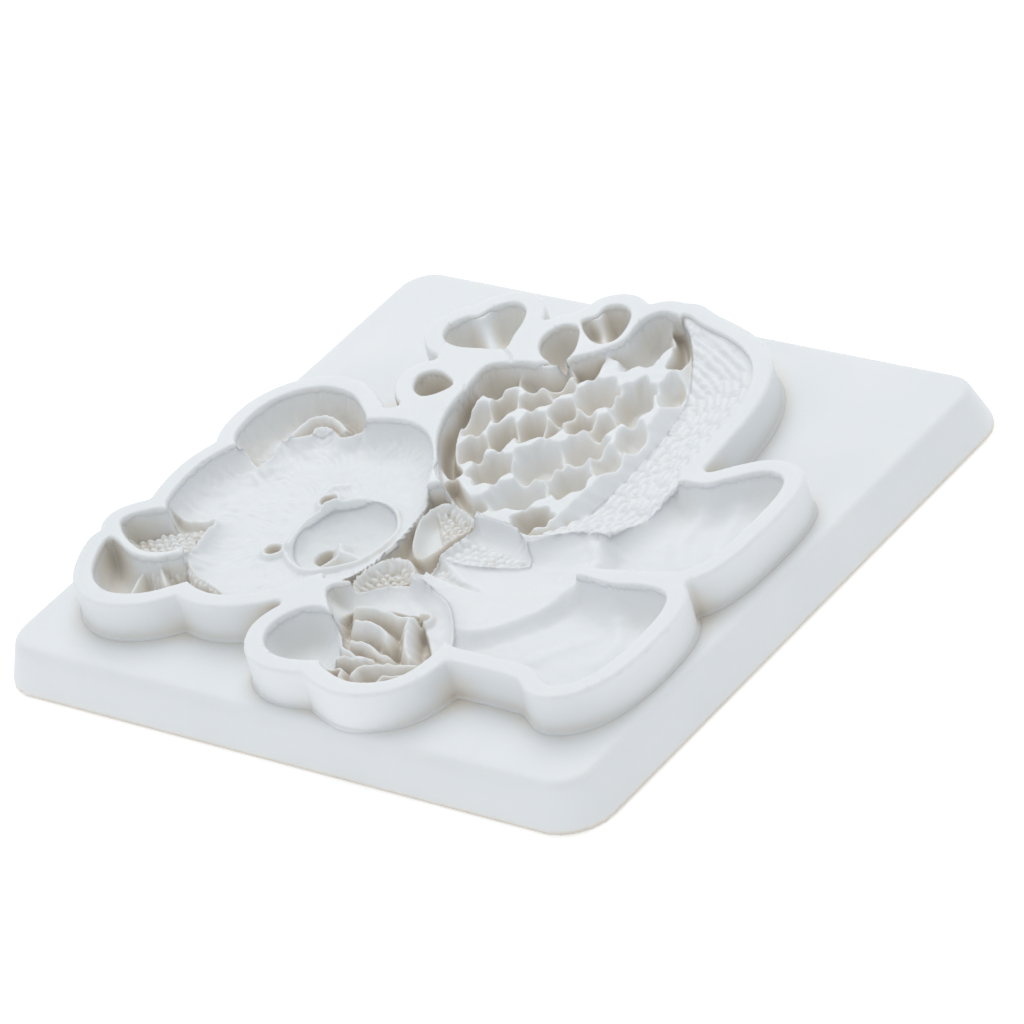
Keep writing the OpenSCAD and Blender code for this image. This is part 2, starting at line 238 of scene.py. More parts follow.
def beads(depth, where, pitch, radius, height, turn=0.0):
    """Covers a zone with a close-packed layer of small round bumps."""
    c, s = math.cos(turn), math.sin(turn)
    u, v = GX * c + GY * s, GY * c - GX * s
    row_pitch = pitch * 0.87
    row = np.round(v / row_pitch)
    off = np.where(row % 2 == 0, 0.0, 0.5)
    du = (u / pitch - off - np.round(u / pitch - off)) * pitch
    dv = v - row * row_pitch
    du = du + 0.10 * noise(40, 1.2, 1.2)  # the rows are slightly uneven
    dv = dv + 0.10 * noise(41, 1.2, 1.2)
    bump = np.sqrt(np.clip(1 - (du ** 2 + dv ** 2) / radius ** 2, 0, 1))
    bump = bump * (1 + 0.2 * noise(42, 1.2, 1.2))
    depth[where] -= (height * bump)[where]


# ---- the relief ----------------------------------------------------------------------------

LAYERS = []


def lay(nodes, depth, blend=0.4):
    """Puts a depth over some nodes' footprints, with a soft change to their neighbours."""
    segs = shared_edge(nodes)
    gap = np.full(GX.shape, 9.0)
    if len(segs):
        w = window(segs, blend)
        gap[w] = away(segs, GX[w], GY[w])
    t = np.clip(0.5 + np.where(zone(*nodes), gap, -gap) / blend, 0, 1)
    LAYERS.append((t * t * (3 - 2 * t), depth))


def bowl(nodes, deep, width, ledge):
    """Depth of a hollow: upright at the wall, and at depth ledge where it meets other hollows."""
    segs = shared_edge(nodes)
    deep = np.broadcast_to(deep, GX.shape)
    out = LEAST_DEPTH + (deep - LEAST_DEPTH) * dome(wall_d, width)
    if len(segs):
        w = window(segs, width + 0.5)
        inward = dome(away(segs, GX[w], GY[w]), width)
        out[w] = np.minimum(out[w], ledge + (deep[w] - ledge) * inward)
    return out


def to_line(points):
    """Distance from each grid point to a smooth curve."""
    return away(curve(points, 5), GX, GY)


# face and ear, parted by the ridge at the root of the ear
EAR_ROOT = [(-43.5, -2.8), (-41.4, -2.6), (-37.6, -4.2), (-36.7, -2.3), (-37.6, 1.1), (-35.9, 2.1),
            (-34.1, 3.2), (-34.1, 4.9), (-32.9, 5.6), (-31.0, 5.2), (-29.0, 4.3), (-27.4, 4.9), (-26.2, 6.6)]
EAR_FOLD = [(-36.4, 1.8), (-36.6, 4.2), (-36.3, 6.4), (-34.6, 7.6), (-32.0, 7.2), (-29.4, 5.8)]
ear_side = within(EAR_ROOT + [(-22, 14), (-40, 18), (-52, 8)])
root = to_line(EAR_ROOT)
saddle = np.exp(-((GX + 38.2) ** 2 + (GY + 3.8) ** 2) / 4.5)
cheek = np.exp(-((GX + 22) ** 2 + (GY + 14) ** 2) / 13 ** 2)
ridge_top = 1.7 + 1.3 * saddle + 0.18 * noise(30, 1.5, 1.5)
face_deep = 4.1 + 0.9 * cheek
head = np.minimum(bowl(["head_bowl", "muzzle_bowl", "ear_bowl"], face_deep, 5.0, 1.7),
                  ridge_top + (face_deep - ridge_top) * dome(root, 3.8))
ear = np.minimum(LEAST_DEPTH + 4.5 * dome(wall_d, 3.4), ridge_top + 3.0 * dome(root, 2.0))
crest(ear, EAR_FOLD, 1.9, 1.9)

# the fin at the side of the face, with the ribbon's knot behind it
FIN = [(-42.6, -18.4), (-38.6, -17.6), (-34.6, -17.0), (-33.6, -19.5), (-32.9, -22.6), (-32.0, -25.9),
       (-28.4, -28.3), (-23.6, -29.6), (-19.2, -31.2)]
behind_fin = within(FIN + [(-18, -38), (-40, -42), (-50, -24)])
fin = to_line(FIN)
fin_top = 1.9 + 1.6 * np.clip((GX + 29) / 9, 0, 1) + 1.2 * np.clip((-34 - GX) / 3, 0, 1)
head = np.minimum(head, fin_top + (face_deep - fin_top) * dome(fin, 3.6))
knot = np.minimum(np.minimum(4.6, LEAST_DEPTH + 4.1 * dome(wall_d, 1.6)), fin_top + 2.1 * fin)
head = np.where(behind_fin, np.maximum(knot, np.minimum(head, 1.0)), head)

# muzzle: a bowl with a crisp lip, a nose and the mouth's seam
MUZZLE_X, MUZZLE_Y = -15.4, -12.7
MUZZLE_R = 7.7
EYES = ((-22.8, -6.8), (-23.3, -18.5))
NOSE_X, NOSE_Y = -18.0, -14.4
NOSE_HALF_X, NOSE_HALF_Y = 1.25, 1.9
mx, my = GX - MUZZLE_X, GY - MUZZLE_Y
bearing = np.arctan2(my, mx)
reach = np.hypot(mx, my) / (MUZZLE_R + 0.2 * np.sin(3 * bearing + 1) + 0.12 * np.sin(7 * bearing))
muzzle = 3.9 + 1.5 * dome(1 - reach, 0.2) + 2.7 * (1 - np.clip(reach, 0, 1) ** 2)
lip = np.exp(-((reach - 1.04) / 0.05) ** 2) + 0.35 * np.exp(-((reach - 0.93) / 0.025) ** 2) * (mx > 2)
head = np.where(reach < 1, np.maximum(head, muzzle), head) - 0.75 * lip
for eye_x, eye_y in EYES:
    r = np.hypot(GX - eye_x, GY - eye_y)
    head -= 0.9 * np.exp(-((r - 1.45) / 0.45) ** 2)
    head = np.where(r < 1.1, np.maximum(head, 4.3 + 1.5 * dome(1.1 - r, 0.9)), head)
nose_r = np.hypot((GX - NOSE_X) / NOSE_HALF_X, (GY - NOSE_Y) / NOSE_HALF_Y)
head = np.where(nose_r < 1, np.maximum(head, 7.8 + 1.5 * dome(1 - nose_r, 0.7)), head)
crest(head, [(-17.2, -12.0), (-16.0, -13.4), (-14.2, -13.6), (-11.6, -14.2), (-9.2, -14.6)], 6.2, 1.3)
crest(head, [(-17.0, -17.0), (-16.4, -15.4), (-16.3, -13.4), (-17.2, -11.8)], 6.6, 2.0)
swell(head, [(-24.8, -5.2), (-24.6, -3.4), (-22.6, -2.8)], 0.5, -0.45)

# fur: fine strokes that fan out from the muzzle, and flutes down the far wall
fan = np.arctan2(GY + 11, GX + 15)
strokes = np.sin(95 * fan + 5.0 * noise(3, 2.5, 2.5)) * np.clip(noise(4, 1.6, 1.6) + 0.35, 0, 1.5)
flutes = np.sin(70 * fan + 2.5 * noise(31, 2, 2)) * np.exp(-((np.minimum(wall_d, root) - 1.6) / 1.5) ** 2)
face_field = np.where(ear_side, ear, head)
face_field += (0.045 * strokes + 0.07 * flutes + 0.06 * noise(5, 1.4, 1.4)) * (reach > 1.08) * (wall_d > 0.3)
lay(["head_bowl", "muzzle_bowl", "ear_bowl"], face_field)

# ribbon: a plain loop and a beaded one, parted by a sharp S-shaped crest
ribbon = LEAST_DEPTH + 4.5 * dome(wall_d, 2.3)
beaded = within([(-44.6, -24.4), (-40.4, -21.2), (-36, -18.0), (-33, -17.6), (-33.4, -23.8), (-36.4, -27.2),
                 (-42.2, -26.6)])
tied = within([(-35.2, -30.4), (-32, -27), (-28, -28.2), (-19.6, -31), (-22, -33), (-28.6, -32.6),
               (-33, -33.2)])
ribbon = np.where(beaded & (wall_d > 0.5), np.minimum(ribbon, 4.2), ribbon)
beads(ribbon, beaded & (wall_d > 0.5), 1.15, 0.60, 0.85, 0.4)
beads(ribbon, tied & (wall_d > 0.4), 1.1, 0.58, 0.85, 0.9)
swell(ribbon, [(-35.6, -25.6), (-34.8, -25.2)], 1.0, -1.7)
crest(ribbon, [(-47.0, -23.8), (-42.8, -26.5), (-39.4, -28.4), (-36.6, -28.7), (-35.6, -27.8), (-33.2, -30.0),
               (-30.4, -32.4)], 1.4, 3.0)
crest(ribbon, [(-34.6, -35.6), (-36.1, -32.0), (-36.5, -29.0)], 2.4, 1.9)
lay(["ribbon_loop_floor", "ribbon_tail_floor"], np.minimum(ribbon, fin_top + 2.4 * fin), 0.5)
# the same beads run on behind the fin, on the face's own layer
beads(face_field, tied & behind_fin & (fin > 0.5) & (wall_d > 0.4), 1.1, 0.58, 0.85, 0.9)
beads(face_field, beaded & behind_fin & (fin > 0.6) & (wall_d > 0.5), 1.15, 0.60, 0.85, 0.4)

# neck channel and the beaded collar
lay(["neck_channel"], bowl(["neck_channel"], 5.2, 1.5, 1.3))
collar = bowl(["collar_upper_floor", "collar_lower_floor"], 4.7, 1.9, 1.5)
near_side = GX + GY > -9.6
beads(collar, (near_side | (GY < -16.5)) & (collar > 2.7), 1.12, 0.60, 0.95, 0.55)
lay(["collar_upper_floor", "collar_lower_floor"], collar)

# body and feet lie in one hollow, with a soft step down at the hem
TORSO = ["body_bowl", "scarf_panel_floor", "scarf_strip_floor", "upper_foot_bowl", "lower_foot_bowl"]
HEM = [(15.5, -31.5), (17.5, -28.4), (20.4, -26.2), (23.5, -23.2), (25.9, -19.4), (27.6, -14.6),
       (27.3, -11.5), (27.8, -8.4), (26.2, -6.2), (23.8, -4.2), (22.6, -1.0)]
on_body = within(HEM + [(-10, 4), (-10, -36)])
hem = to_line(HEM)
body = bowl(TORSO, 3.1 + 0.12 * noise(6, 7, 3, 0.2), 6.5, 1.5)
foot = bowl(TORSO, 4.5 + 0.15 * noise(8, 5, 4), 4.2, 1.5)
for roll in ([(29.6, -27.2), (32.1, -23.6), (34.8, -20.9)], [(36.3, -17.3), (38.4, -20.4), (38.6, -25.0)],
             [(33.0, 6.0), (33.4, 0.6), (36.6, -4.0)], [(37.6, 8.4), (38.6, 2.6), (41.4, -3.0)]):
    swell(foot, roll, 1.4, -0.5)
from_hem = np.where(on_body, hem, -hem)
down = np.clip(0.5 - from_hem / 3.0, 0, 1)
down = down * down * (3 - 2 * down)
torso = body * (1 - down) + foot * down - 0.2 * np.exp(-((from_hem - 1.1) / 0.7) ** 2)
# the scarf's strip: a beaded groove that tapers along the body
strip_d = to_line([(-1.0, -15.4), (2.0, -15.9), (6.0, -16.9), (10.4, -18.0), (15.2, -18.8)])
thin = 1.6 * np.clip((15.6 - GX) / 12, 0.05, 1)
groove = strip_d < thin
torso = np.where(groove, np.maximum(torso, 2.4 + 1.5 * dome(thin - strip_d, 0.8)), torso)
torso -= 0.25 * np.exp(-((strip_d - thin - 0.2) / 0.3) ** 2) * np.clip((15 - GX) / 4, 0, 1)
beads(torso, groove & (thin - strip_d > 0.25), 1.15, 0.55, 0.9, -0.2)
lay(TORSO, torso)
panel = bowl(["scarf_panel_floor"], 4.0, 2.2, 1.4)
pearls = within([(2.6, -11.6), (5.4, -9.8), (10.6, -10.2), (16.6, -11.4), (13.0, -13.8), (5, -14.6),
                 (1.6, -13.6)])
beads(panel, pearls & (panel > 2.4), 1.3, 0.62, 0.9, 0.15)
lay(["scarf_panel_floor"], panel)

# arm, paw and the rose it holds
lay(["arm_bowl"], bowl(["arm_bowl"], 5.1, 3.4, 1.7))
paw = bowl(["paw_bowl"], 3.1 + 0.08 * noise(9, 3, 1.2, -0.5), 3.0, 1.1)
held = within([(-1, -28), (4, -26.2), (9.6, -26), (13, -29), (17.5, -33.4), (19, -38), (12, -44), (3, -41),
               (0, -33)])
paw += 1.9 * held * np.clip((wall_d - 0.2) / 1.5, 0, 1)
PETALS = [[(0.8, -28.4), (4.0, -27.6), (8.3, -28.2), (9.7, -28.0), (10.3, -29.6)],
          [(2.4, -30.6), (5.6, -30.6), (8.2, -31.4), (9.4, -32.4)],
          [(10.2, -28.6), (11.6, -31.2), (13.2, -33.2), (15.2, -34.8)],
          [(4.6, -34.2), (7.4, -34.2), (10.2, -35.4), (12.4, -35.6)],
          [(2.9, -35.4), (5.3, -36.1), (7.8, -36.8), (10.2, -36.6)],
          [(4.6, -39.2), (5.8, -37.6), (8.8, -37.2)],
          [(9.9, -40.8), (9.6, -38.8), (11.6, -37.6), (14.8, -36.8), (17.4, -36.0)],
          [(14.4, -40.8), (14.9, -39.0), (17.8, -38.0)],
          [(5.6, -40.6), (7.4, -39.8), (8.2, -41.2), (9.6, -41.8)]]
for petal in PETALS:
    crest(paw, petal, 1.3 + 0.2 * math.sin(7 * petal[0][0]), 2.2)
paw += 0.14 * noise(33, 0.9, 0.9) * held
curl = np.hypot(GX - 10.9, GY + 26.6)  # a small ring at the tip of the outer petal
paw -= 1.1 * np.exp(-((curl - 1.1) / 0.34) ** 2)
lay(["paw_bowl"], paw)

# heart, drop and buds: round bowls. A saddle parts the heart's lobes and the twin bud's halves
PITS = {"heart_bowl": (5.1, 4.2), "drop_bowl": (4.9, 2.6), "bud_bowl": (5.2, 3.3), "twin_bud_bowl": (5.0, 3.0)}
for name, (deep, width) in PITS.items():
    hollow = LEAST_DEPTH + (deep - LEAST_DEPTH) * dome(wall_d, width)
    if name == "heart_bowl":
        swell(hollow, [(-25.6, 33.2), (-22.2, 30.0), (-18.6, 27.2)], 1.7, -2.2)
    if name == "twin_bud_bowl":
        swell(hollow, [(-8.4, 38.0), (-5.6, 35.3), (-3.0, 32.6)], 1.2, -2.3)
    lay([name], hollow)

# flowers: each is a hollow with a scalloped edge, and crests stand where hollows meet.
# Each row holds x, y, the half widths along and across, and the depth
FLOWERS = [
    (-15, 22.5, 3.4, 4.6, 5.8), (-8, 24.5, 4.2, 3.0, 4.4), (-3, 28.5, 2.0, 3.6, 4.8), (1.5, 35.5, 4.0, 5.8, 5.4),
    (-11, 13, 2.1, 3.7, 4.2), (-9.5, 17, 1.9, 3.5, 4.6), (-5.5, 19.5, 2.8, 2.3, 4.2), (0, 18.5, 1.9, 2.6, 4.0),
    (2.5, 23, 3.1, 3.6, 4.9), (9, 23, 2.8, 5.0, 5.6), (-5, 11, 2.0, 3.3, 5.0), (-2.2, 13.8, 2.0, 3.4, 4.8),
    (1, 14.5, 1.7, 2.3, 3.8), (4, 17, 2.1, 2.6, 4.4), (8, 17.3, 2.1, 2.6, 4.0), (-7, 7, 2.1, 3.3, 4.2),
    (4, 7.5, 3.6, 4.2, 5.6), (8.2, 12.2, 3.3, 3.3, 4.8), (-1.5, 4, 2.8, 3.5, 5.0), (11, 5.5, 3.1, 4.2, 5.3),
    (6, 0.2, 4.3, 3.5, 5.0), (12, -4, 2.8, 2.3, 4.4), (13.6, 10.6, 2.3, 3.4, 3.6), (14, 16, 2.2, 3.4, 3.4),
    (12.5, 27.5, 2.0, 4.0, 3.8), (1.5, -3.6, 2.9, 1.6, 3.4), (-3.6, 23, 2.2, 1.9, 3.6)]
TILT = math.radians(24)  # all the flowers lie at this turn
to_weave = away(shared_edge(["basket_weave"]), GX, GY)
flowers = np.clip(3.7 - 1.15 * to_weave, 1.55, 3.7)
for i, (cx, cy, half_a, half_b, deep) in enumerate(FLOWERS):
    u = ((GX - cx) * math.cos(TILT) + (GY - cy) * math.sin(TILT)) / half_a
    v = ((GY - cy) * math.cos(TILT) - (GX - cx) * math.sin(TILT)) / half_b
    r = np.hypot(u, v)
    half_petals = 3.5 if half_a > 2.4 else 2.5  # a wide flower has seven petals and a narrow one five
    scallop = np.abs(np.sin(half_petals * np.arctan2(v, u) + 1.7 * i)) - 0.6
    r = r / (1.16 + 0.20 * np.clip(r, 0, 1.2) ** 4 * scallop)
    flowers = np.maximum(flowers, 0.9 + deep * (1 - r ** 2.3))
bed = np.minimum(flowers + 0.07 * noise(11, 1.1, 1.1), LEAST_DEPTH + 5.0 * dome(wall_d, 2.2))
lay(["flower_bed"], bed, 0.5)

# wicker: a slope from the wall down to the flowers, with woven strands that follow the rim
slope = 0.7 + 3.3 * np.clip(wall_d / 8.5, 0, 1) ** 0.75
STRAND_WIDTH, STRAND_LENGTH = 1.3, 2.7
rim = [(10, 40), (15, 37.6), (21.5, 33.6), (25.6, 25.4), (27, 14), (28, 5), (28.6, -4)]
across = to_line(rim) + 0.12 * noise(13, 3, 3)
along = GY + 0.35 * GX + 0.2 * noise(14, 4, 4)
column = np.floor(across / STRAND_WIDTH)
fu = across / STRAND_WIDTH - column
fv = along / STRAND_LENGTH + 0.5 * (column % 2) + 0.2 * np.sin(column * 2.4)
fv = fv - np.floor(fv)
strand = np.sqrt(np.clip(1 - (2 * fu - 1) ** 2, 0, 1)) * np.clip(1 - (2 * fv - 1) ** 2, 0, 1) ** 0.5
splint = np.sin(2 * math.pi * (along + 0.5 * across) / 0.62) * np.clip(noise(32, 1.4, 2.2) + 0.3, 0, 1)
wicker = slope - (0.55 * strand + 0.09 * splint) * np.clip(wall_d / 1.2, 0, 1)
wicker = wicker + 0.05 * noise(12, 0.7, 1.6)
lay(["basket_weave"], wicker, 0.9)

# the layers together
weight = sum(t for t, _ in LAYERS)
DEPTH = np.where(weight > 0.05, sum(t * d for t, d in LAYERS) / np.maximum(weight, 0.05), 0.6)

# the grip of the basket: narrow crescents beside the head and at the far end of the flowers
GRIP_HALF = 1.1
for bend, deep in (([(-15.2, 18.2), (-14.0, 12.6), (-11.6, 7.4), (-8.4, 3.2), (-5.6, 1.2)], 4.8),
                   ([(-4.6, -0.8), (-1.2, -3.0), (3.4, -4.6)], 4.0),
                   ([(3.2, 40.6), (6.0, 38.2), (8.2, 35.2), (9.2, 32.2)], 4.8)):
    near = to_line(bend)
    crescent = np.maximum(DEPTH, deep * dome(GRIP_HALF - near, GRIP_HALF))
    DEPTH = np.where((label >= 0) & (near < GRIP_HALF), crescent, DEPTH)

# slight unevenness all over, and a softer finish on the plain hollows
DEPTH += 0.03 * noise(20, 0.8, 0.8) + 0.04 * noise(21, 2.6, 2.6)
calm = smooth(zone("body_bowl", "upper_foot_bowl", "lower_foot_bowl", "arm_bowl", "heart_bowl", "drop_bowl",
                   "bud_bowl", "twin_bud_bowl").astype(float), 0.4)
DEPTH = np.where(label >= 0, DEPTH, 0.6)
DEPTH = smooth(DEPTH, 0.12) * (1 - calm) + smooth(DEPTH, 0.24) * calm
DEPTH = np.where(wall_d < 0, RIM_DEPTH, np.clip(DEPTH, LEAST_DEPTH, MOST_DEPTH))
HEIGHT = TOP_Z - DEPTH


# ---- meshes ----------------------------------------------------------------------------------

def spread(mask_label, steps):
    """Gives the points just outside the figure the label of their nearest neighbour."""
    out = mask_label.copy()
    for _ in range(steps):
        for axis, shift in ((0, 1), (0, -1), (1, 1), (1, -1)):
            moved = np.roll(out, shift, axis)
            out = np.where((out < 0) & (moved >= 0), moved, out)
    return out


wide_label = spread(label, int(EMBED / STEP) + 1)
slope_y, slope_x = np.gradient(HEIGHT, STEP)
NORMAL = np.stack([-slope_x, -slope_y, np.ones_like(HEIGHT)], -1)
NORMAL /= np.linalg.norm(NORMAL, axis=-1, keepdims=True)


def add_mesh(name, verts, faces, loop_normals=None):
    """Makes a smooth-shaded object from millimetres."""
    mesh = bpy.data.meshes.new(name)
    mesh.from_pydata((np.asarray(verts) / 1000).tolist(), [], [tuple(f) for f in faces])
    mesh.shade_smooth()
    if loop_normals is not None:
        mesh.normals_split_custom_set(loop_normals.tolist())
    piece = bpy.data.objects.new(name, mesh)
    bpy.context.scene.collection.objects.link(piece)
    return piece


def relief_piece(name, nodes):
    """A closed block whose top is the relief over some nodes' footprints."""
    cell = np.isin(wide_label[:-1, :-1], [FLOORS.index(n) for n in nodes])
    cell &= (wide_label[1:, :-1] >= 0) & (wide_label[:-1, 1:] >= 0) & (wide_label[1:, 1:] >= 0)
    rows, cols = np.nonzero(cell)
    wide = GX.shape[1]
    corner = np.stack([rows * wide + cols, rows * wide + cols + 1, (rows + 1) * wide + cols + 1,
                       (rows + 1) * wide + cols], 1)
    used, flat = np.unique(corner, return_inverse=True)
    top = flat.reshape(-1, 4)
    n = len(used)
    x, y, z = GX.ravel()[used], GY.ravel()[used], HEIGHT.ravel()[used]
    verts = np.concatenate([np.stack([x, y, z], 1), np.stack([x, y, np.full(n, SKIN_Z + 0.1)], 1)])
    under = top[:, ::-1] + n
    a = top.ravel()
    b = np.roll(top, -1, axis=1).ravel()
    code, back = a.astype(np.int64) * (2 * n) + b, b.astype(np.int64) * (2 * n) + a
    rim = ~np.isin(code, back)
    side = np.stack([b[rim], a[rim], a[rim] + n, b[rim] + n], 1)
    edge = verts[b[rim]] - verts[a[rim]]
    outward = np.stack([edge[:, 1], -edge[:, 0], np.zeros(len(edge))], 1)
    outward /= np.linalg.norm(outward, axis=1)[:, None]
    normals = np.concatenate([NORMAL.reshape(-1, 3)[used][top].reshape(-1, 3),
                              np.tile([0.0, 0.0, -1.0], (len(under) * 4, 1)), np.repeat(outward, 4, axis=0)])
    return add_mesh(name, verts, np.concatenate([top, under, side]), normals)


def volume_piece(name, field, origin, step, adaptivity):
    """Meshes the zero level of a distance field that is sampled on a grid."""
    grid = openvdb.FloatGrid(3.0)
    grid.copyFromArray(np.ascontiguousarray(field.astype(np.float32)))
    points, tris, quads = grid.convertToPolygons(isovalue=0.0, adaptivity=adaptivity)
    faces = tris.tolist() + quads.tolist()
    return add_mesh(name, points * step + np.array(origin), faces)


def round_max(a, b, r):
    """The larger of two distances, with their corner rounded to radius r."""
    u, v = np.maximum(a + r, 0), np.maximum(b + r, 0)
    return np.minimum(np.maximum(a, b), -r) + np.hypot(u, v)


def rounded_plate(x, y, length, width, radius):
    """Distance from the outline of a rectangle with round corners."""
    qx, qy = np.abs(x) - length / 2 + radius, np.abs(y) - width / 2 + radius
    return np.hypot(np.maximum(qx, 0), np.maximum(qy, 0)) + np.minimum(np.maximum(qx, qy), 0) - radius


# ---- pieces ----------------------------------------------------------------------------------

# the nodes whose footprints each relief covers
RELIEFS = {
    "head": ["head_bowl"],
    "muzzle": ["muzzle_bowl"],
    "ear": ["ear_bowl"],
    "ribbon": ["ribbon_loop_floor", "ribbon_tail_floor"],
    "collar": ["neck_channel", "collar_upper_floor", "collar_lower_floor"],
    "scarf": ["scarf_panel_floor"],
    "body_and_feet": ["body_bowl", "scarf_strip_floor", "upper_foot_bowl", "lower_foot_bowl"],
    "arm": ["arm_bowl"],
    "paw_and_rose": ["paw_bowl"],
    "flowers": ["flower_bed"],
    "wicker": ["basket_weave"],
    "hearts": ["heart_bowl", "drop_bowl"],
    "buds": ["bud_bowl", "twin_bud_bowl"],
}
# the nodes that stand on those floors, which the same relief shapes
STANDS_FOR = {
    "ear": ["inner_ear_mound"],
    "paw_and_rose": ["rose_petals"],
    "flowers": ["flower_crests"],
}

pieces = []
for name, nodes in RELIEFS.items():
    piece = relief_piece(name + "_relief", nodes)
    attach(piece, "root")
    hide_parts(*nodes, *STANDS_FOR.get(name, []))
    pieces.append(piece)

# the raised wall: upright, rounded along its top edges, with a small fillet where it meets the slab
VOXEL = 0.24
WALL_FILLET = 0.35
WALL_LEAN = 0.02  # how far the outside leans out per millimetre of height
OUTER_EDGE_R = 0.6
CAVITY_EDGE_R = 0.45
GROOVE_R = 0.32
GROOVES = ([(-16.3, 26.6), (-14.2, 25.4), (-12.4, 23.4)], [(-16.2, 17.4), (-15.6, 16.8), (-14.6, 16.2)])
wall_edge = exposed(WALLS, SLAB_Z)
block_low = wall_edge.reshape(-1, 2).min(0) - 1.4
block_high = wall_edge.reshape(-1, 2).max(0) + 1.4
wx = np.arange(block_low[0], block_high[0], VOXEL)
wy = np.arange(block_low[1], block_high[1], VOXEL)
wz = np.arange(SLAB_Z - 1.2, TOP_Z + 0.8, VOXEL)
WX, WY = np.meshgrid(wx, wy, indexing="ij")
in_figure = np.any([inside(footprint(n, SKIN_Z), WX, WY) for n in FLOORS], axis=0)
cavity_d = np.where(in_figure, 1, -1) * away(figure_edge, WX, WY)
in_wall = np.any([inside(footprint(n, SLAB_Z), WX, WY) for n in WALLS], axis=0)
middle = (wall_edge[:, :2] + wall_edge[:, 2:]) / 2
outer_edge = wall_edge[away(figure_edge, middle[:, 0], middle[:, 1]) > 0.3]
outer_d = np.where(in_wall | in_figure, -1, 1) * away(outer_edge, WX, WY)
lift = np.clip((wz - SLAB_Z) / WALL_FILLET, 0, 1)
flare = WALL_FILLET * (1 - np.sqrt(1 - (1 - lift) ** 2)) - WALL_LEAN * (wz - SLAB_Z)
outer = outer_d[:, :, None] - flare
cavity = np.repeat(cavity_d[:, :, None], len(wz), 2)
above = (wz - TOP_Z) + np.zeros_like(outer)
field = np.maximum(round_max(outer, above, OUTER_EDGE_R), round_max(cavity, above, CAVITY_EDGE_R))
field = np.maximum(field, (SLAB_Z - 0.5) - wz)
for groove in GROOVES:  # two small grooves across the top of the wall
    near = away(curve(groove), WX, WY)
    field = np.maximum(field, GROOVE_R - np.hypot(near[:, :, None], wz - TOP_Z - 0.02))
wall = volume_piece("raised_wall", field, (wx[0], wy[0], wz[0]), VOXEL, 0.03)
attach(wall, "root")
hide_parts(*WALLS)
pieces.append(wall)

# the slab: drafted sides, rounded corners and a soft top edge, hollowed under the relief
SLAB_STEP = 0.42
DRAFT = 2.3  # how far each side leans in between the underside and the top
CORNER_R = 7.0
TOP_EDGE_R = 1.0
FOOT_EDGE_R = 0.3
lo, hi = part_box("base_slab")
length, width = (hi[0] - lo[0]) * 1000, (hi[1] - lo[1]) * 1000
sx = np.arange(-length / 2 - 1, length / 2 + 1, SLAB_STEP)
sy = np.arange(-width / 2 - 1, width / 2 + 1, SLAB_STEP)
sz = np.arange(-0.8, SLAB_Z + 1.0, SLAB_STEP)
SX, SY, SZ = np.meshgrid(sx, sy, sz, indexing="ij")
lean = DRAFT * np.clip(SZ, 0, SLAB_Z) / SLAB_Z
plate = rounded_plate(SX, SY, length, width, CORNER_R) + lean
plate = round_max(plate, SZ - SLAB_Z, TOP_EDGE_R)
plate = round_max(plate, -SZ, FOOT_EDGE_R)
flat_x, flat_y = SX[:, :, 0], SY[:, :, 0]
under_figure = np.any([inside(footprint(n, SKIN_Z), flat_x, flat_y) for n in FLOORS], axis=0)
pocket = np.where(under_figure, -1, 1) * away(figure_edge, flat_x, flat_y)
plate = np.maximum(plate, -np.maximum(pocket[:, :, None] + 0.5, (SKIN_Z + 0.4) - SZ))
slab = volume_piece("slab", plate, (sx[0], sy[0], sz[0]), SLAB_STEP, 0.01)
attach(slab, "root")
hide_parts("base_slab")
pieces.append(slab)


# ---- material --------------------------------------------------------------------------------

